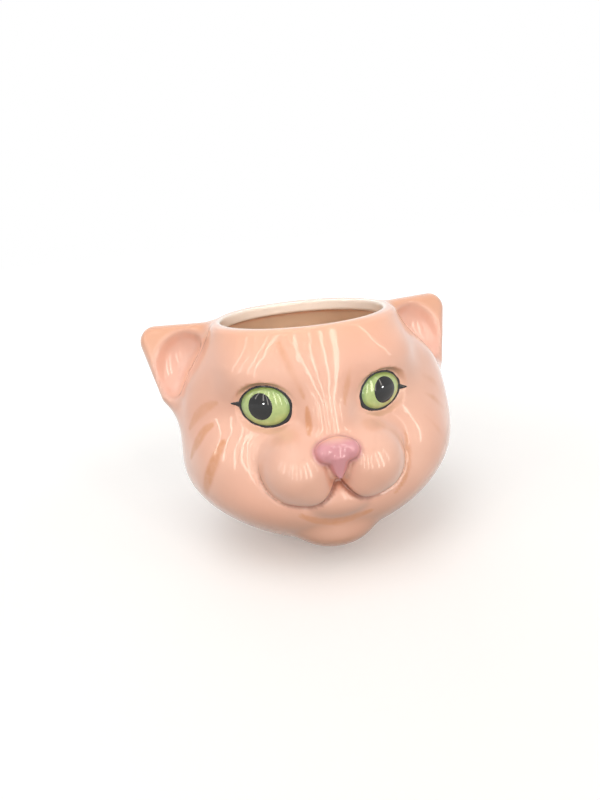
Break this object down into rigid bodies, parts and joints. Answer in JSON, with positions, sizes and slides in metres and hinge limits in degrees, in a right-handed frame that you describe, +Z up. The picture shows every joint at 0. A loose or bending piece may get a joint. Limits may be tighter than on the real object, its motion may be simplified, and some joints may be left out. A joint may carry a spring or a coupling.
{
  "type": "animal shaped planter",
  "caption": "Glazed earthenware planter shaped as a cat's head with an open mouth at the top, luted ears and muzzle, domed eyes and a lift-out drain stopper.",
  "frame": {"origin": "on the resting surface, under the middle of the planter's bounding box", "axes": "+Z up, the cat's face looks towards -Y, the cat's own left ear is at +X"},
  "size_m": [0.1614, 0.1202, 0.1105],
  "materials": {
    "peach_glaze": "glossy coloured glaze over earthenware",
    "pink_glaze": "glossy coloured glaze over earthenware",
    "green_glaze": "glossy coloured glaze over earthenware",
    "black_enamel": "thick gloss enamel",
    "brown_black_line": "hand-laid line under gloss glaze",
    "stopper_rubber": "matt moulded rubber"
  },
  "bodies": {
    "planter": {"head_shell": "peach_glaze", "left_ear": "peach_glaze", "right_ear": "peach_glaze", "left_muzzle_pad": "peach_glaze", "right_muzzle_pad": "peach_glaze", "lower_lip": "peach_glaze", "chin": "peach_glaze", "nose": "pink_glaze", "left_eye": "green_glaze", "right_eye": "green_glaze", "left_pupil": "black_enamel", "right_pupil": "black_enamel", "left_eye_liner": "brown_black_line", "right_eye_liner": "brown_black_line"},
    "stopper": {"drain_stopper": "stopper_rubber"}
  },
  "joints": [
    {"name": "stopper_lift", "type": "slide", "parent": "planter", "child": "stopper", "axis": [0, 0, 1], "range_m": [0, 0.012]}
  ]
}
